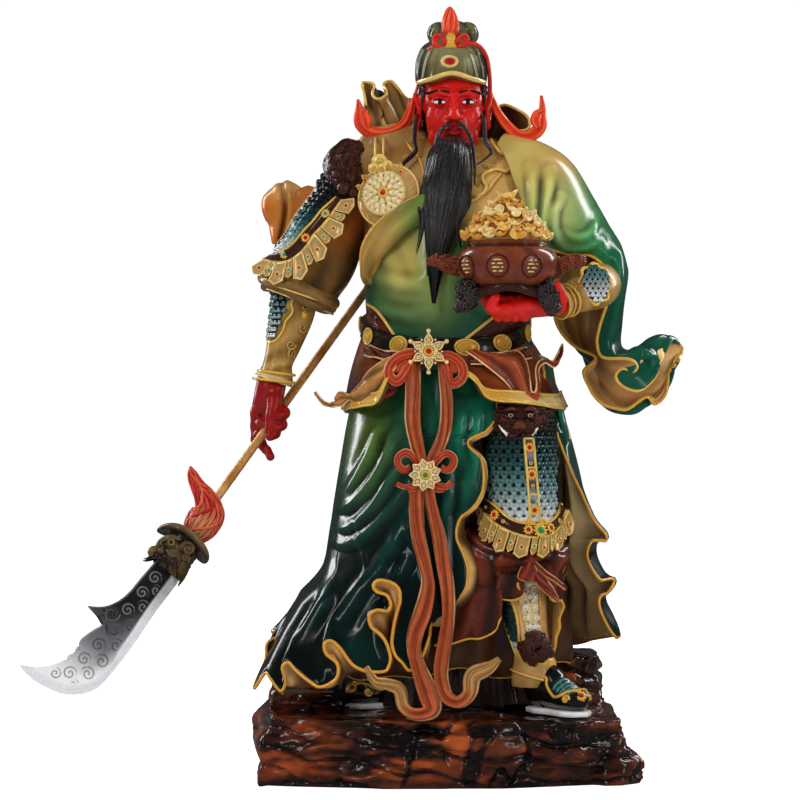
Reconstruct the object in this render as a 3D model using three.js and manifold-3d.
// A painted cast statue of a bearded general in armour and robes, on a rock plinth.
// The general holds a treasure bowl heaped with gold in the left hand and a crescent-bladed polearm in the right.
// Millimetres, +Z up, the front faces -Y, and the origin is the centre of the plinth's underside.
import * as THREE from "three";
import { mergeVertices } from "three/addons/utils/BufferGeometryUtils.js";
import Module from "manifold-3d";

const wasm = await Module();
wasm.setup();

// Driving sizes
const FIGURE_HEIGHT = 439; // from the soles to the top of the hat's pompom
const PLINTH_WIDTH = 240;
const PLINTH_DEPTH = 170;
const PLINTH_HEIGHT = 41;
const CLOTH = 3; // thickness of a free edge of cast cloth
const GAP = 0.3; // between two pieces that touch
const SHAFT_RADIUS = 2.7;
const SHAFT_LENGTH = 262;
const TASSEL_LENGTH = 27; // from the end of the shaft to the guard
const GUARD_RADIUS = 18;
const GUARD_THICKNESS = 4;
const BEAST_LENGTH = 22; // the beast's head that holds the blade
const BLADE_LENGTH = 101;
const BLADE_THICKNESS = 4;
const BOWL_RADIUS = 31; // at its widest
const BOWL_RIM_RADIUS = 25;
const BOWL_HEIGHT = 31; // its body, without the feet
const BOWL_FOOT_HEIGHT = 15;
const HEAP_HEIGHT = 29; // the gold above the rim

// The pose and the carving are laid out on a grid of equal parts of the figure's height,
// with x across, y back and z up from the soles.
const FIGURE_PARTS = 694;
const PART = FIGURE_HEIGHT / FIGURE_PARTS;
const CLOTH_PARTS = CLOTH / PART;

const { clamp, degToRad, lerp } = THREE.MathUtils;
const FRONT = [0, -1, 0];
const UP = [0, 0, 1];

// One number on a smooth curve through b and c, with neighbours a and d
function smooth(a, b, c, d, f) {
  const slopeIn = (c - a) / 2;
  const slopeOut = (d - b) / 2;
  const bend = 2 * (b - c) + slopeIn + slopeOut;
  return b + f * (slopeIn + f * (c - b - slopeIn - bend + f * bend));
}

// The row of numbers at a place along a list of rows, where 1.5 is halfway from row 1 to row 2
function rowAt(rows, place) {
  const i = clamp(Math.floor(place), 0, rows.length - 2);
  const row = (k) => rows[clamp(k, 0, rows.length - 1)];
  return rows[0].map((_, c) =>
    smooth(row(i - 1)[c], row(i)[c], row(i + 1)[c], row(i + 2)[c], place - i),
  );
}

// The rest of the row at a key, in rows that start with their own rising or falling key
function keyed(rows, key) {
  const rising = rows[rows.length - 1][0] > rows[0][0];
  let i = 0;
  while (i < rows.length - 2 && (rising ? key > rows[i + 1][0] : key < rows[i + 1][0])) i++;
  const share = (key - rows[i][0]) / (rows[i + 1][0] - rows[i][0]);
  return rowAt(rows, i + clamp(share, 0, 1)).slice(1);
}

// A closed solid from points and triangles, with its faces turned out
function solid(points, triangles) {
  const geometry = new THREE.BufferGeometry();
  geometry.setAttribute("position", new THREE.Float32BufferAttribute(points.flat(), 3));
  geometry.setIndex(triangles.flat());
  const merged = mergeVertices(geometry, 1e-3);
  const vertProperties = merged.attributes.position.array;
  const index = Array.from(merged.index.array);
  const kept = [];
  for (let i = 0; i < index.length; i += 3) {
    const [a, b, c] = index.slice(i, i + 3);
    if (a !== b && b !== c && c !== a) kept.push([a, b, c]);
  }
  const make = (faces) =>
    new wasm.Manifold(
      new wasm.Mesh({ numProp: 3, vertProperties, triVerts: new Uint32Array(faces.flat()) }),
    );
  const made = make(kept);
  return made.volume() < 0 ? make(kept.map(([a, b, c]) => [a, c, b])) : made;
}

// A closed skin over rings of equally many points, with a flat fan on each end
function skin(rings) {
  const n = rings[0].length;
  const points = rings.flat();
  const triangles = [];
  for (let r = 0; r < rings.length - 1; r++)
    for (let k = 0; k < n; k++) {
      const a = r * n + k;
      const b = r * n + ((k + 1) % n);
      triangles.push([a, b, b + n], [a, b + n, a + n]);
    }
  const middle = (ring) => [0, 1, 2].map((c) => ring.reduce((sum, p) => sum + p[c], 0) / n);
  const first = points.push(middle(rings[0])) - 1;
  const last = points.push(middle(rings[rings.length - 1])) - 1;
  const end = (rings.length - 1) * n;
  for (let k = 0; k < n; k++) {
    const next = (k + 1) % n;
    triangles.push([first, next, k], [last, end + k, end + next]);
  }
  return solid(points, triangles);
}

// A body of ovals, from rows of z, centre x, centre y, half width, reach to the front and to the back,
// and the rise from front to back where the oval is tipped
function body(rows, sides, levels) {
  const rings = [];
  for (let r = 0; r <= levels; r++) {
    const [z, x, y, wide, front, back, tip = 0] = rowAt(rows, (r / levels) * (rows.length - 1));
    const ring = [];
    for (let k = 0; k < sides; k++) {
      const a = (2 * Math.PI * k) / sides;
      const reach = Math.cos(a) > 0 ? front : back;
      const placeY = y - reach * Math.cos(a);
      ring.push([x + wide * Math.sin(a), placeY, z + tip * placeY]);
    }
    rings.push(ring);
  }
  return skin(rings);
}

// A limb, strand or ribbon along a smooth path of rows x, y, z, half width, half depth.
// The depth lies along facing, and the width across it.
function limb(rows, sides, steps, facing = FRONT) {
  const toward = new THREE.Vector3(...facing);
  const rings = [];
  for (let s = 0; s <= steps; s++) {
    const place = (s / steps) * (rows.length - 1);
    const [x, y, z, wide, deep] = rowAt(rows, place);
    const before = rowAt(rows, Math.max(place - 0.05, 0));
    const after = rowAt(rows, Math.min(place + 0.05, rows.length - 1));
    const run = new THREE.Vector3(...[0, 1, 2].map((c) => after[c] - before[c])).normalize();
    const across = new THREE.Vector3().crossVectors(run, toward).normalize();
    const out = new THREE.Vector3().crossVectors(across, run).normalize();
    const ring = [];
    for (let k = 0; k < sides; k++) {
      const a = (2 * Math.PI * k) / sides;
      const point = new THREE.Vector3(x, y, z)
        .addScaledVector(across, wide * Math.cos(a))
        .addScaledVector(out, deep * Math.sin(a));
      ring.push(point.toArray());
    }
    rings.push(ring);
  }
  return skin(rings);
}

// An egg of the given half sizes about a centre
function egg([x, y, z], [wide, deep, tall], sides = 8, levels = 5) {
  const rows = [];
  for (let r = 0; r <= levels; r++) {
    const a = Math.PI * clamp(r / levels, 0.04, 0.96);
    const s = Math.sin(a);
    rows.push([z - tall * Math.cos(a), x, y, wide * s, deep * s, deep * s]);
  }
  return body(rows, sides, levels);
}

// A sheet of cloth of even thickness about the points point(u, v), with u and v from 0 to 1
function sheet(point, across, down, thickness = CLOTH_PARTS) {
  const nudge = 1e-3;
  const sides = [[], []];
  for (let i = 0; i <= across; i++)
    for (let j = 0; j <= down; j++) {
      const [u, v] = [i / across, j / down];
      const slope = (du, dv) =>
        new THREE.Vector3(...point(clamp(u + du, 0, 1), clamp(v + dv, 0, 1))).sub(
          new THREE.Vector3(...point(clamp(u - du, 0, 1), clamp(v - dv, 0, 1))),
        );
      const normal = slope(nudge, 0).cross(slope(0, nudge)).normalize();
      const here = new THREE.Vector3(...point(u, v));
      sides.forEach((side, k) =>
        side.push(here.clone().addScaledVector(normal, (k - 0.5) * thickness).toArray()),
      );
    }
  const points = sides.flat();
  const back = sides[0].length;
  const at = (i, j) => i * (down + 1) + j;
  const triangles = [];
  const quad = (a, b, c, d) => triangles.push([a, b, c], [a, c, d]);
  for (let i = 0; i < across; i++)
    for (let j = 0; j < down; j++) {
      const [a, b, c, d] = [at(i, j), at(i + 1, j), at(i + 1, j + 1), at(i, j + 1)];
      quad(a, b, c, d);
      quad(back + a, back + d, back + c, back + b);
    }
  for (let i = 0; i < across; i++) {
    quad(at(i + 1, 0), at(i, 0), back + at(i, 0), back + at(i + 1, 0));
    quad(at(i, down), at(i + 1, down), back + at(i + 1, down), back + at(i, down));
  }
  for (let j = 0; j < down; j++) {
    quad(at(0, j), at(0, j + 1), back + at(0, j + 1), back + at(0, j));
    quad(at(across, j + 1), at(across, j), back + at(across, j), back + at(across, j + 1));
  }
  return solid(points, triangles);
}

// A flat disc with a domed face, at a centre and facing a direction
function disc(centre, facing, radius, thickness, sides = 12) {
  const out = new THREE.Vector3(...facing).normalize();
  const row = (depth, r) => [
    ...new THREE.Vector3(...centre).addScaledVector(out, depth).toArray(),
    r,
    r,
  ];
  const rows = [row(-thickness, radius), row(0, radius), row(thickness / 2, radius * 0.6)];
  return limb(rows, sides, 2, UP);
}

const joined = (solids) => wasm.Manifold.union(solids);

// The belt tips down towards the front, below the belly
const BELT_MIDDLE = 368;
const BELT_SLOPE = 0.26;

// The robe's skirt hangs from the belt. Its angle starts at the front and turns by the right hand and the back.
const SKIRT_OVALS = [
  [BELT_MIDDLE, 8, 0, 86, 72],
  [300, 12, 0, 110, 90],
  [240, 11, 0, 120, 98],
  [185, 10, 0, 128, 102],
  [105, 2, 0, 150, 108],
  [50, -6, 0, 166, 114],
  [10, -8, 0, 176, 120],
];
// How far along the hem each angle's edge is above the soles, and how far it stands out
const SKIRT_HEM = [
  [4, 72, 4],
  [11, 42, 6],
  [17, 70, 14],
  [23, 36, -2],
  [29, 50, 8],
  [39, 74, 14],
  [46, 28, -4],
  [56, 54, 12],
  [64, 20, -6],
  [75, 42, 10],
  [90, 18, 0],
  [100, 62, 14],
  [110, 34, 0],
  [128, 52, 10],
  [144, 20, -4],
  [162, 42, 10],
  [180, 18, -4],
  [198, 42, 10],
  [216, 20, -4],
  [236, 48, 10],
  [252, 30, -2],
  [268, 62, 8],
];
// The angles of the robe's two free edges at each height, on both sides of the leg
const SKIRT_EDGES = [
  [BELT_MIDDLE, -30, 330],
  [300, -24, 308],
  [262, -8, 304],
  [245, -14, 300],
  [209, -16, 294],
  [175, -3, 284],
  [139, -8, 276],
  [110, -4, 278],
  [75, 4, 270],
  [10, 4, 268],
];
// Long folds: the angle where each starts at the belt and ends at the hem, its width and how far it stands out
const SKIRT_FOLDS = [
  [-6, 2, 7, 7],
  [6, 17, 6, 8],
  [14, 40, 9, 10],
  [30, 56, 8, 9],
  [52, 76, 9, 10],
  [80, 102, 10, 9],
  [112, 128, 11, 8],
  [150, 162, 11, 8],
  [190, 198, 11, 8],
  [232, 236, 11, 8],
];

function skirtPoint(u, v) {
  const depth = v ** 0.9;
  const rough = lerp(BELT_MIDDLE, 20, depth);
  const [from, to] = keyed(SKIRT_EDGES, rough);
  const place = u * (SKIRT_HEM.length - 1);
  const before = Math.min(Math.floor(place), SKIRT_HEM.length - 2);
  const below = lerp(SKIRT_HEM[before][0], SKIRT_HEM[before + 1][0], place - before);
  const first = SKIRT_HEM[0][0];
  const last = SKIRT_HEM[SKIRT_HEM.length - 1][0];
  const angle = lerp(from, to, (below - first) / (last - first));
  const [hem, ruffle] = keyed(SKIRT_HEM, below);
  const level = lerp(BELT_MIDDLE, hem, depth);
  const [cx, cy, wide, deep] = keyed(SKIRT_OVALS, level);
  const folds = SKIRT_FOLDS.reduce((sum, [top, end, width, out]) => {
    const off = (angle - lerp(top, end, depth)) / width;
    return sum + out * depth ** 0.7 * Math.exp(-off * off);
  }, -3);
  const out = folds + ruffle * depth ** 4;
  const a = degToRad(angle);
  const y = cy - (deep + out) * Math.cos(a);
  return [cx - (wide + out) * Math.sin(a), y, level + BELT_SLOPE * y * (1 - depth)];
}

// The solid body of lining and inner robe inside the skirt
const robeCore = () =>
  body(
    [
      [-6, -6, 26, 112, 66, 66],
      [40, -4, 24, 108, 62, 66],
      [110, 0, 20, 102, 58, 68],
      [200, 6, 12, 96, 56, 66],
      [300, 8, 4, 88, 62, 60],
      [366, 8, 2, 62, 50, 46],
    ],
    14,
    4,
  );

// The belly and chest above the belt, which is a band of its own depth
const TORSO = [
  [BELT_MIDDLE - 28, 8, 2, 70, 58, 56, BELT_SLOPE],
  [BELT_MIDDLE - 13, 7, 2, 92, 83, 71, BELT_SLOPE],
  [BELT_MIDDLE + 12, 7, 2, 92, 83, 71, BELT_SLOPE],
  [BELT_MIDDLE + 17, 6, 2, 87, 79, 66, BELT_SLOPE],
  [425, 3, 2, 92, 92, 70, 0.06],
  [470, 4, 2, 91, 82, 71, 0],
  [510, 6, 4, 95, 66, 68, 0],
  [540, 8, 6, 98, 50, 58, 0],
  [557, 8, 8, 74, 36, 46, 0],
  [566, 8, 8, 40, 28, 34, 0],
];
const torso = () => body(TORSO, 15, TORSO.length - 1);

// The thick rolled edge where the robe crosses the chest to the right side of the waist
const robeRoll = () =>
  limb(
    [
      [34, -56, 532, 11, 9],
      [-8, -74, 502, 14, 9],
      [-50, -72, 478, 15, 9],
      [-76, -54, 448, 14, 9],
      [-88, -32, 416, 10, 8],
      [-88, -12, 396, 7, 6],
    ],
    6,
    5,
  );

// The flared flap below the belt, open in front under the bow
const PEPLUM_HEM = [
  [14, 336, 92, 76],
  [30, 318, 104, 88],
  [42, 303, 112, 92],
  [62, 292, 122, 96],
  [90, 296, 120, 96],
  [135, 292, 122, 96],
  [180, 298, 120, 98],
  [225, 292, 122, 98],
  [262, 300, 124, 100],
  [288, 296, 128, 100],
  [312, 302, 118, 98],
  [332, 304, 110, 94],
  [348, 340, 94, 80],
];

function peplumPoint(u, v) {
  const angle = lerp(16, 348, u);
  const a = degToRad(angle);
  const [hem, wide, deep] = keyed(PEPLUM_HEM, angle);
  const x = 7 - lerp(87, wide, v ** 0.8) * Math.sin(a);
  const y = 2 - lerp(72, deep, v ** 0.8) * Math.cos(a);
  return [x, y, lerp(BELT_MIDDLE - 6 + BELT_SLOPE * y, hem, v)];
}

// The two flying tips of the upper flap, one on each side
const peplumTips = () =>
  joined([
    limb(
      [
        [-56, -62, 344, 10, 5],
        [-80, -56, 322, 13, 5],
        [-100, -46, 306, 9, 5],
        [-120, -40, 302, 6, 4],
        [-131, -38, 312, 4, 3],
      ],
      5,
      5,
    ),
    limb(
      [
        [40, -74, 346, 9, 5],
        [64, -78, 324, 13, 6],
        [86, -72, 308, 11, 6],
        [98, -66, 326, 8, 5],
        [106, -60, 346, 6, 4],
        [116, -56, 356, 4, 3],
      ],
      5,
      6,
    ),
  ]);

// The sash: a bow under the buckle, two strands knotted at a rosette, and two tails that end on the rock
function sash() {
  const loop = (side) =>
    limb(
      [
        [-21 + side * 4, -82, 350, 5, 4],
        [-21 + side * 22, -88, 346, 8, 6],
        [-21 + side * 36, -92, 328, 8, 6],
        [-21 + side * 24, -97, 318, 7, 6],
        [-21 + side * 10, -90, 336, 4, 4],
      ],
      4,
      4,
    );
  const strands = [
    [
      [-32, -82, 346, 8, 5],
      [-37, -96, 306, 9, 5],
      [-35, -104, 268, 8, 5],
      [-28, -108, 233, 6, 5],
      [-34, -112, 192, 9, 5],
      [-28, -118, 150, 9, 5],
      [-34, -122, 110, 12, 5],
      [-37, -123, 78, 12, 5],
      [-26, -127, 40, 11, 6],
      [-24, -130, 14, 10, 6],
      [-46, -128, 18, 8, 4],
      [-60, -126, 42, 9, 3],
      [-78, -122, 54, 5, 3],
    ],
    [
      [-8, -82, 346, 8, 5],
      [-1, -96, 306, 9, 5],
      [-5, -104, 268, 8, 5],
      [-14, -108, 233, 6, 5],
      [-12, -114, 190, 8, 5],
      [-1, -118, 150, 9, 5],
      [4, -121, 110, 9, 5],
      [-5, -123, 74, 9, 5],
      [-4, -127, 34, 9, 6],
      [14, -129, 18, 8, 4],
      [30, -124, 32, 8, 3],
      [44, -118, 54, 5, 3],
    ],
  ];
  return joined([
    loop(-1),
    loop(1),
    ...strands.map((rows) => limb(rows, 5, rows.length - 2)),
    disc([-20, -91, 351], FRONT, 18, 12, 8),
    disc([-21, -112, 233], FRONT, 15, 8, 8),
  ]);
}

// The advanced leg: mail over the thigh, a fringe of plates, trousers, a greave and a boot
const leftLeg = () =>
  joined([
    body(
      [
        [320, 68, -30, 34, 52, 30],
        [290, 70, -32, 37, 58, 30],
        [250, 72, -34, 38, 64, 30],
        [215, 74, -34, 37, 64, 30],
        [190, 74, -32, 35, 58, 30],
      ],
      10,
      3,
    ),
    body(
      [
        [214, 72, -34, 38, 66, 34],
        [200, 71, -34, 44, 70, 36],
        [178, 69, -34, 50, 76, 38],
        [166, 69, -34, 50, 76, 38],
      ],
      10,
      2,
    ),
    body(
      [
        [190, 68, -30, 40, 52, 30],
        [150, 62, -26, 42, 46, 32],
        [118, 58, -22, 46, 42, 36],
        [96, 44, -16, 60, 36, 34],
      ],
      10,
      3,
    ),
    limb(
      [
        [74, -40, 140, 25, 24],
        [75, -50, 108, 24, 24],
        [80, -56, 72, 19, 20],
        [86, -60, 46, 17, 19],
        [86, -60, 22, 16, 18],
      ],
      7,
      4,
    ),
    boot([66, -44], [140, -114]),
  ]);

const rightBoot = () => boot([-44, -20], [-112, -82]);

// A boot from heel to toe, flat on the rock
function boot([heelX, heelY], [toeX, toeY]) {
  const profile = [
    [0, 14, 11, 14],
    [0.14, 18, 15, 18],
    [0.4, 19, 17, 19],
    [0.7, 13, 17, 13],
    [0.9, 11, 14, 11],
    [1, 10, 6, 6],
  ];
  const rows = profile.map(([share, z, wide, tall]) => [
    lerp(heelX, toeX, share),
    lerp(heelY, toeY, share),
    z,
    wide,
    tall,
  ]);
  return limb(rows, 7, 5, UP);
}

const head = () =>
  joined([
    body(
      [
        [540, 7, 0, 24, 22, 24],
        [552, 7, -10, 19, 30, 22],
        [562, 7, -12, 25, 32, 26],
        [578, 7, -12, 30, 34, 32],
        [598, 7, -12, 33, 36, 36],
        [618, 7, -12, 33, 37, 36],
        [630, 7, -12, 32, 36, 36],
      ],
      10,
      5,
    ),
    limb(
      [
        [7, -44, 606, 3, 4],
        [7, -48, 594, 4, 5],
        [7, -49, 584, 6, 6],
      ],
      5,
      2,
    ),
    ...[-1, 1].map((side) => egg([7 + side * 34, -6, 590], [4, 8, 17], 5, 3)),
  ]);

// The cap: a padded band, a crown gathered into a knot, and a pompom on a stem
const hat = () =>
  joined([
    body(
      [
        [619, 7, -11, 34, 38, 37],
        [624, 7, -11, 37, 41, 40],
        [640, 7, -11, 37, 41, 40],
        [654, 7, -9, 34, 35, 39],
        [663, 7, -4, 24, 22, 34],
      ],
      12,
      4,
    ),
    egg([6, 8, 668], [28, 26, 18], 8, 4),
    egg([6, 30, 648], [24, 18, 22], 8, 3),
    body(
      [
        [654, 0, -30, 8, 7, 7],
        [662, 0, -30, 4, 4, 4],
        [666, 0, -30, 8, 7, 7],
        [674, 1, -29, 10, 10, 10],
        [684, 2, -28, 8, 8, 8],
        [FIGURE_PARTS, 3, -26, 2, 2, 2],
      ],
      6,
      5,
    ),
  ]);

// The cap's red cords, which fly out over both shoulders and end in curled tassels
const capCords = () =>
  joined([
    limb(
      [
        [-26, -14, 648, 4, 4],
        [-31, -8, 618, 4, 4],
        [-32, -2, 590, 5, 5],
        [-42, -4, 570, 7, 5],
        [-64, -6, 561, 9, 6],
        [-82, -6, 570, 9, 6],
        [-86, -4, 586, 6, 5],
        [-90, -2, 604, 3, 3],
      ],
      5,
      7,
    ),
    limb(
      [
        [38, -14, 648, 4, 4],
        [45, -8, 618, 4, 4],
        [48, -2, 590, 5, 5],
        [60, -4, 570, 7, 5],
        [80, -6, 560, 9, 6],
        [97, -6, 572, 9, 6],
        [98, -4, 590, 6, 5],
        [93, -2, 610, 3, 3],
      ],
      5,
      7,
    ),
  ]);

// The long beard lies on the chest and belly, and the moustache hangs over its upper corners
const beard = () =>
  joined([
    limb(
      [
        [6, -40, 574, 15, 8],
        [5, -52, 558, 23, 12],
        [3, -66, 535, 28, 13],
        [1, -78, 503, 28, 11],
        [-5, -88, 468, 20, 9],
        [-11, -94, 435, 11, 7],
        [-13, -97, 398, 2, 2],
      ],
      8,
      6,
    ),
    ...[-1, 1].map((side) =>
      limb(
        [
          [7 + side * 2, -50, 581, 3, 3],
          [7 + side * 15, -50, 573, 4, 4],
          [7 + side * 23, -58, 550, 4, 4],
        ],
        4,
        2,
      ),
    ),
  ]);

// The robe's collar flies up behind the neck in waves
const CAPE_TOP = [
  [-84, 22, 624],
  [-74, 30, 618],
  [-66, 26, 604],
  [-56, 34, 624],
  [-36, 40, 610],
  [8, 52, 590],
  [52, 42, 596],
  [70, 30, 604],
  [86, 20, 588],
];
const CAPE_FOOT = [
  [-74, 2, 556],
  [-62, 20, 552],
  [-50, 30, 548],
  [-40, 38, 546],
  [-24, 44, 544],
  [8, 50, 540],
  [40, 44, 544],
  [60, 28, 550],
  [76, 6, 556],
];
const capePoint = (u, v) => {
  const place = u * (CAPE_TOP.length - 1);
  const top = rowAt(CAPE_TOP, place);
  const foot = rowAt(CAPE_FOOT, place);
  return top.map((value, c) => lerp(value, foot[c], v));
};

// The right arm hangs: a beast-head pauldron, mail and plates over a bronze sleeve, a bracer and the fist
const rightArm = () =>
  joined([
    limb(
      [
        [-70, 6, 546, 24, 34],
        [-96, 2, 528, 32, 36],
        [-118, 0, 486, 37, 37],
        [-134, -4, 450, 41, 38],
        [-143, -6, 428, 38, 36],
        [-147, -7, 408, 35, 33],
      ],
      10,
      4,
    ),
    egg([-100, -10, 530], [25, 32, 28], 8, 3),
    egg([-86, -32, 513], [12, 12, 16], 5, 3),
    sheet(armPlatePoint, 7, 1),
    limb(
      [
        [-150, -8, 418, 25, 22],
        [-153, -11, 392, 23, 21],
        [-161, -15, 362, 18, 17],
        [-167, -18, 342, 15, 15],
        [-170, -20, 326, 19, 17],
      ],
      7,
      4,
    ),
    limb(
      [
        [-128, 16, 462, 20, 16],
        [-160, 24, 476, 20, 18],
        [-164, 28, 504, 24, 20],
        [-158, 28, 524, 14, 12],
      ],
      6,
      3,
    ),
    rightHand(),
  ]);

// The row of gold plates along the lower border of the arm's mail
const ARM_PLATE_ROOT = [
  [-92, -44, 516],
  [-108, -44, 494],
  [-124, -44, 470],
  [-142, -40, 450],
  [-164, -28, 440],
  [-176, -10, 444],
];
const ARM_PLATE_EDGE = [
  [-80, -40, 500],
  [-90, -44, 470],
  [-106, -46, 444],
  [-132, -44, 424],
  [-168, -30, 424],
  [-190, -8, 434],
];
function armPlatePoint(u, v) {
  const place = u * (ARM_PLATE_ROOT.length - 1);
  const root = rowAt(ARM_PLATE_ROOT, place);
  const edge = rowAt(ARM_PLATE_EDGE, place);
  return root.map((value, c) => lerp(value, edge[c], v));
}

const rightHand = () =>
  joined([
    limb(
      [
        [-170, -19, 330, 14, 12],
        [-176, -21, 308, 20, 14],
        [-181, -26, 284, 20, 14],
        [-184, -29, 264, 13, 10],
      ],
      7,
      3,
    ),
    ...[0, 1, 2].map((k) => egg([-160 - 4 * k, -36 - 3 * k, 298 - 13 * k], [10, 9, 8], 5, 2)),
    limb(
      [
        [-182, -32, 268, 7, 8],
        [-175, -40, 256, 6, 6],
        [-170, -41, 247, 3, 3],
      ],
      5,
      2,
    ),
  ]);

// The left sleeve hangs open. Each ring has the same points, from the top of the mouth round by the outer side.
const SLEEVE_MOUTH = [
  [120, -46, 448],
  [142, -50, 446],
  [158, -48, 430],
  [159, -46, 400],
  [150, -44, 366],
  [148, -50, 348],
  [164, -56, 342],
  [178, -50, 334],
  [170, -42, 322],
  [184, -46, 316],
  [198, -38, 330],
  [212, -20, 352],
  [228, -4, 352],
  [224, 4, 334],
  [210, 6, 310],
  [190, 2, 300],
  [164, -2, 302],
  [144, -8, 318],
  [132, -10, 342],
  [118, -12, 370],
  [112, -16, 404],
  [112, -28, 434],
];
const SLEEVE_RINGS = [
  [80, 2, 546, 34, 22],
  [112, 2, 520, 44, 34],
  [132, 2, 480, 46, 44],
  [142, 0, 440, 42, 46],
];
const SLEEVE_ARM = SLEEVE_RINGS.length - 1;
function sleeveRing(place) {
  const count = SLEEVE_MOUTH.length;
  const last = SLEEVE_ARM;
  const oval = (row, k) => {
    const [x, y, z, wide, deep] = row;
    const a = (2 * Math.PI * (k - 1)) / count;
    return [x + wide * Math.sin(a), y - deep * Math.cos(a), z - 0.5 * wide * Math.sin(a)];
  };
  if (place <= last) return SLEEVE_MOUTH.map((_, k) => oval(rowAt(SLEEVE_RINGS, place), k));
  const share = place - last;
  return SLEEVE_MOUTH.map((edge, k) => {
    const from = oval(SLEEVE_RINGS[last], k);
    const bulge = Math.sin(Math.PI * share) * 8;
    return edge.map((value, c) => lerp(from[c], value, share) + (c === 1 ? bulge : 0));
  });
}

// The sleeve is solid round the arm, and its hanging part is open from the mouth to the arm's ring
function leftSleeve() {
  const outer = [0, 1, 2, SLEEVE_ARM, 3.3, 3.65, 3.86, 4].map(sleeveRing);
  const inner = outer.slice(4).map((ring) => {
    const middle = [0, 1, 2].map((c) => ring.reduce((sum, p) => sum + p[c], 0) / ring.length);
    return ring.map((p, k) => {
      const before = ring[(k + ring.length - 1) % ring.length];
      const after = ring[(k + 1) % ring.length];
      const run = new THREE.Vector3(...after).sub(new THREE.Vector3(...before)).normalize();
      const inward = new THREE.Vector3(...middle).sub(new THREE.Vector3(...p));
      inward.projectOnPlane(run).normalize();
      return new THREE.Vector3(...p).addScaledVector(inward, CLOTH_PARTS).toArray();
    });
  });
  return skin([...outer, ...inner.reverse()]);
}

// The left forearm comes forward out of the sleeve, and the open hand carries the bowl
const leftArm = () =>
  joined([
    limb(
      [
        [132, 0, 446, 26, 26],
        [150, -24, 424, 24, 24],
        [146, -52, 416, 23, 23],
        [126, -82, 406, 19, 18],
        [112, -98, 400, 15, 14],
        [104, -104, 397, 16, 14],
      ],
      7,
      4,
      UP,
    ),
    limb(
      [
        [112, -100, 397, 14, 11],
        [92, -114, 397, 22, 12],
        [70, -122, 397, 24, 13],
        [56, -126, 397, 18, 10],
      ],
      6,
      3,
      UP,
    ),
    ...[0, 1, 2, 3].map((k) =>
      limb(
        [
          [74 - 2 * k, -111 - 9 * k, 393, 5, 6],
          [46 - k, -109 - 11 * k, 392, 5, 6],
          [35 + 3 * k, -109 - 12 * k, 402, 4, 4],
        ],
        5,
        2,
        UP,
      ),
    ),
    limb(
      [
        [100, -120, 394, 8, 8],
        [104, -134, 402, 7, 7],
        [100, -140, 412, 5, 5],
      ],
      5,
      2,
      UP,
    ),
  ]);

// The medallion of the breast armour
const medallion = () => disc([-60, -58, 508], [-0.35, -0.9, 0.2], 29, 12, 12);

// The bowl's round underside sits on the left palm. Its sizes are its own, and its place is on the grid.
const BOWL_PLACE = [56 * PART, -122 * PART, 409 * PART];
const BOWL_PROFILE = [
  [0, 0],
  [0.45, 0],
  [0.72, 0.12],
  [0.95, 0.35],
  [1, 0.55],
  [0.92, 0.74],
  [0.76, 0.86],
  [0.74, 0.95],
];

// A turned solid about +Z from radii and heights, grown outwards by an allowance
function turned(profile, sides, allowance = 0) {
  const rings = profile.map(([radius, height], k) => {
    const end = k === 0 ? -allowance : k === profile.length - 1 ? allowance : 0;
    const ring = [];
    for (let s = 0; s < sides; s++) {
      const a = (2 * Math.PI * s) / sides;
      const r = Math.max(radius, 0.05) + allowance;
      ring.push([r * Math.cos(a), r * Math.sin(a), height + end]);
    }
    return ring;
  });
  return skin(rings);
}

function treasureBowl(allowance = 0) {
  const profile = BOWL_PROFILE.slice(1).map(([r, h]) => [r * BOWL_RADIUS, h * BOWL_HEIGHT]);
  const rim = [
    [BOWL_RIM_RADIUS, BOWL_HEIGHT * 0.92],
    [BOWL_RIM_RADIUS, BOWL_HEIGHT],
  ];
  const heap = [
    [BOWL_RIM_RADIUS * 0.9, BOWL_HEIGHT - 1],
    [BOWL_RIM_RADIUS * 1.06, BOWL_HEIGHT + HEAP_HEIGHT * 0.14],
    [BOWL_RIM_RADIUS * 0.94, BOWL_HEIGHT + HEAP_HEIGHT * 0.36],
    [BOWL_RIM_RADIUS * 0.68, BOWL_HEIGHT + HEAP_HEIGHT * 0.7],
    [BOWL_RIM_RADIUS * 0.3, BOWL_HEIGHT + HEAP_HEIGHT],
  ];
  const footEnd = -1 - allowance / BOWL_FOOT_HEIGHT;
  const handleEnd = 1.42 + allowance / BOWL_RADIUS;
  const feet = [-90, 30, 150].map((degrees) => {
    const a = degToRad(degrees);
    const row = (reach, height, wide, deep) => [
      reach * BOWL_RADIUS * Math.cos(a),
      reach * BOWL_RADIUS * Math.sin(a),
      height * BOWL_FOOT_HEIGHT,
      wide + allowance,
      deep + allowance,
    ];
    return limb([row(0.7, 0.5, 5, 5), row(0.88, -0.2, 6, 6), row(0.95, footEnd, 6, 5)], 6, 2);
  });
  const handles = [-1, 1].map((side) => {
    const row = (reach, height, wide) => [
      side * reach * BOWL_RADIUS,
      0,
      height * BOWL_HEIGHT,
      wide + allowance,
      wide + allowance,
    ];
    return limb([row(0.85, 0.5, 6), row(1.15, 0.6, 7), row(handleEnd, 0.62, 4)], 6, 3);
  });
  const parts = [
    turned(profile, 13, allowance),
    turned(rim, 13, allowance),
    turned(heap, 9, allowance),
    ...feet,
    ...handles,
  ];
  return joined(parts).translate(...BOWL_PLACE);
}

// The polearm runs through the fist and up behind the back
const GRIP = new THREE.Vector3(-182, -27, 271).multiplyScalar(PART);
const SHAFT_RUN = new THREE.Vector3(94, 60, 134).normalize();
const GRIP_TO_TASSEL = 55; // along the shaft, towards the blade

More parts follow.
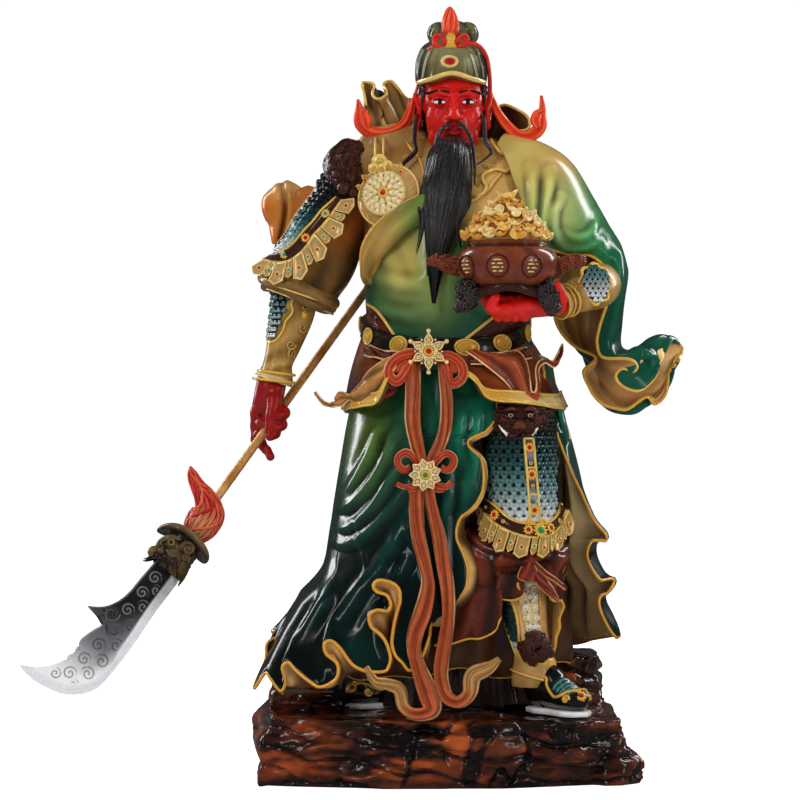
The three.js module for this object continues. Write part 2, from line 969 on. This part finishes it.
const onShaft = (distance) => GRIP.clone().addScaledVector(SHAFT_RUN, distance);

function shaft(allowance = 0) {
  const row = (distance, radius) => [...onShaft(distance).toArray(), radius, radius];
  const start = -GRIP_TO_TASSEL - allowance;
  const end = start + SHAFT_LENGTH + 2 * allowance;
  const r = SHAFT_RADIUS + allowance;
  return limb([row(start, r), row(end, r)], 12, 1);
}

// Along the blade from the guard, and across it towards its back, both as shares of its length
const BLADE_OUTLINE = [
  [-0.1, 0.085],
  [0.1, 0.085],
  [0.24, 0.1],
  [0.35, 0.13],
  [0.46, 0.255],
  [0.45, 0.16],
  [0.46, 0.106],
  [0.55, 0.135],
  [0.63, 0.166],
  [0.7, 0.157],
  [0.8, 0.174],
  [0.9, 0.24],
  [1, 0.385],
  [1.01, 0.28],
  [1, 0.18],
  [0.98, 0.076],
  [0.935, 0],
  [0.87, -0.063],
  [0.78, -0.097],
  [0.6, -0.11],
  [0.3, -0.104],
  [-0.1, -0.105],
];

function blade() {
  const shape = new THREE.Shape(
    BLADE_OUTLINE.map(([s, w]) => new THREE.Vector2(s * BLADE_LENGTH, w * BLADE_LENGTH)),
  );
  const flat = new THREE.ExtrudeGeometry(shape, {
    depth: BLADE_THICKNESS,
    bevelEnabled: false,
  }).translate(0, 0, -BLADE_THICKNESS / 2);
  const geometry = new THREE.BufferGeometry();
  geometry.setAttribute("position", flat.getAttribute("position"));
  const merged = mergeVertices(geometry, 1e-4);
  const points = [];
  for (let i = 0; i < merged.attributes.position.count; i++)
    points.push(new THREE.Vector3().fromBufferAttribute(merged.attributes.position, i).toArray());
  const index = Array.from(merged.index.array);
  const triangles = index.flatMap((_, i) => (i % 3 ? [] : [index.slice(i, i + 3)]));
  return solid(points, triangles);
}

// The blade's head, built along +X from the tassel to the tip, then laid on the shaft's line
function polearmHead() {
  const beastAt = TASSEL_LENGTH + GUARD_THICKNESS;
  const bladeAt = beastAt + BEAST_LENGTH;
  const alongX = (rows, sides, steps) => limb(rows, sides, steps, UP);
  const tassel = alongX(
    [
      [0, 0, 0, SHAFT_RADIUS * 1.5, SHAFT_RADIUS * 1.5],
      [TASSEL_LENGTH * 0.4, 0, 0, GUARD_RADIUS * 0.6, GUARD_RADIUS * 0.5],
      [TASSEL_LENGTH + 1, 0, 0, GUARD_RADIUS * 0.5, GUARD_RADIUS * 0.45],
    ],
    7,
    2,
  );
  const flame = alongX(
    [
      [TASSEL_LENGTH * 0.9, GUARD_RADIUS * 0.3, 0, 7, 6],
      [TASSEL_LENGTH * 0.5, GUARD_RADIUS * 0.6, 0, 7, 6],
      [TASSEL_LENGTH * 0.05, GUARD_RADIUS * 0.75, 0, 4.5, 4],
      [-TASSEL_LENGTH * 0.15, GUARD_RADIUS * 1.15, 0, 3, 3],
      [-TASSEL_LENGTH * 0.35, GUARD_RADIUS * 1.4, 0, 1, 1],
    ],
    5,
    5,
  );
  const guard = alongX(
    [
      [TASSEL_LENGTH, 0, 0, GUARD_RADIUS, GUARD_RADIUS * 0.8],
      [beastAt, 0, 0, GUARD_RADIUS, GUARD_RADIUS * 0.8],
    ],
    12,
    1,
  );
  const beast = joined([
    alongX(
      [
        [beastAt - 1, 0, 0, GUARD_RADIUS * 0.75, GUARD_RADIUS * 0.55],
        [beastAt + BEAST_LENGTH * 0.5, 0, 0, GUARD_RADIUS * 0.8, GUARD_RADIUS * 0.6],
        [bladeAt + 1, 0, 0, GUARD_RADIUS * 0.6, GUARD_RADIUS * 0.36],
      ],
      8,
      3,
    ),
    egg([beastAt + BEAST_LENGTH * 0.7, GUARD_RADIUS * 0.8, 0], [5, 4, 4], 6, 3),
  ]);
  const run = SHAFT_RUN.clone().negate();
  const across = new THREE.Vector3(0, 1, 0).cross(run).normalize();
  const place = new THREE.Matrix4()
    .makeBasis(run, across, new THREE.Vector3().crossVectors(run, across))
    .setPosition(onShaft(-GRIP_TO_TASSEL - GAP));
  return joined([tassel, flame, guard, beast, blade().translate(bladeAt, 0, 0)]).transform(
    place.elements,
  );
}

// The plinth is a heap of irregular rock slabs: each has a centre, half sizes, a foot, a top and a turn,
// with x, y and z as shares of the plinth's half width, half depth and height
const ROCKS = [
  { at: [0.0, 0.02], size: [1.0, 0.98], foot: 0, top: 0.56, seed: 1 },
  { at: [-0.06, 0.0], size: [0.93, 0.94], foot: 0.4, top: 1, seed: 4 },
  { at: [0.55, -0.2], size: [0.44, 0.68], foot: 0.3, top: 0.98, seed: 9 },
  { at: [0.84, -0.3], size: [0.16, 0.5], foot: 0, top: 0.62, seed: 6 },
  { at: [0.62, 0.42], size: [0.3, 0.4], foot: 0.6, top: 1.75, seed: 7 },
  { at: [-0.62, 0.2], size: [0.3, 0.5], foot: 0.6, top: 1.25, seed: 3 },
];
const ROCK_SIDES = 10;

// A number from 0 to 1 that looks random and is the same each time
const chance = (a, b) => {
  const wave = Math.sin(a * 12.9898 + b * 78.233) * 43758.5453;
  return wave - Math.floor(wave);
};

function rock({ at, size, foot, top, seed }, allowance) {
  const profile = [0.97, 1, 0.96, 0.93];
  const rings = profile.map((broad, level) => {
    const ring = [];
    for (let k = 0; k < ROCK_SIDES; k++) {
      const a = (2 * Math.PI * k) / ROCK_SIDES;
      const square = (Math.cos(a) ** 6 + Math.sin(a) ** 6) ** (-1 / 6);
      const rough = 1 - 0.08 * chance(k, seed) - 0.06 * chance(k + 31 * level, seed + 5);
      const reach = 1.06 * square * broad * rough;
      const x = clamp(at[0] + size[0] * reach * Math.cos(a), -1, 1) * (PLINTH_WIDTH / 2);
      const y = clamp(at[1] + size[1] * reach * Math.sin(a), -1, 1) * (PLINTH_DEPTH / 2);
      const z = lerp(foot, top, level / (profile.length - 1)) * PLINTH_HEIGHT;
      const grown = 1.5 * allowance;
      const up = level === 0 ? -allowance : level === profile.length - 1 ? allowance : 0;
      ring.push([x + grown * Math.cos(a), y + grown * Math.sin(a), z + up]);
    }
    return ring;
  });
  return skin(rings);
}

const plinth = (allowance = 0) => joined(ROCKS.map((each) => rock(each, allowance)));

// The whole figure on the grid, brought to millimetres, with room for the pieces that it touches
function figureSolid() {
  const onGrid = joined([
    robeCore(),
    sheet(skirtPoint, 2 * (SKIRT_HEM.length - 1), 5),
    torso(),
    robeRoll(),
    sheet(peplumPoint, 18, 1),
    peplumTips(),
    sash(),
    leftLeg(),
    rightBoot(),
    head(),
    hat(),
    capCords(),
    beard(),
    sheet(capePoint, 12, 1),
    rightArm(),
    leftSleeve(),
    leftArm(),
    medallion(),
  ]);
  const cut = onGrid
    .scale(PART)
    .subtract(plinth(GAP).translate(0, 0, -PLINTH_HEIGHT))
    .subtract(shaft(GAP))
    .subtract(treasureBowl(GAP));
  const bodies = cut.decompose().sort((a, b) => b.volume() - a.volume());
  return bodies[0];
}

// A named mesh from a solid
function piece(name, made, color, roughness, metalness) {
  const mesh = made.getMesh();
  const geometry = new THREE.BufferGeometry();
  const step = mesh.numProp;
  const positions = new Float32Array(mesh.numVert * 3);
  for (let i = 0; i < mesh.numVert; i++)
    positions.set(mesh.vertProperties.subarray(i * step, i * step + 3), i * 3);
  geometry.setAttribute("position", new THREE.BufferAttribute(positions, 3));
  geometry.setIndex(new THREE.BufferAttribute(mesh.triVerts, 1));
  geometry.computeVertexNormals();
  const made3d = new THREE.Mesh(
    geometry,
    new THREE.MeshStandardMaterial({ color, roughness, metalness }),
  );
  made3d.name = name;
  return made3d;
}

const statue = new THREE.Group();
statue.add(piece("rock_plinth", plinth(), 0x5a2a14, 0.3, 0));

const onPlinth = new THREE.Group();
onPlinth.position.z = PLINTH_HEIGHT;
onPlinth.add(piece("figure", figureSolid(), 0x12573f, 0.3, 0));
onPlinth.add(piece("treasure_bowl", treasureBowl(), 0x6b2a1a, 0.35, 0));
onPlinth.add(piece("polearm_shaft", shaft(), 0xb87a35, 0.35, 0.4));
onPlinth.add(piece("polearm_head", polearmHead(), 0x9a9a98, 0.3, 0.6));
statue.add(onPlinth);

export default statue;
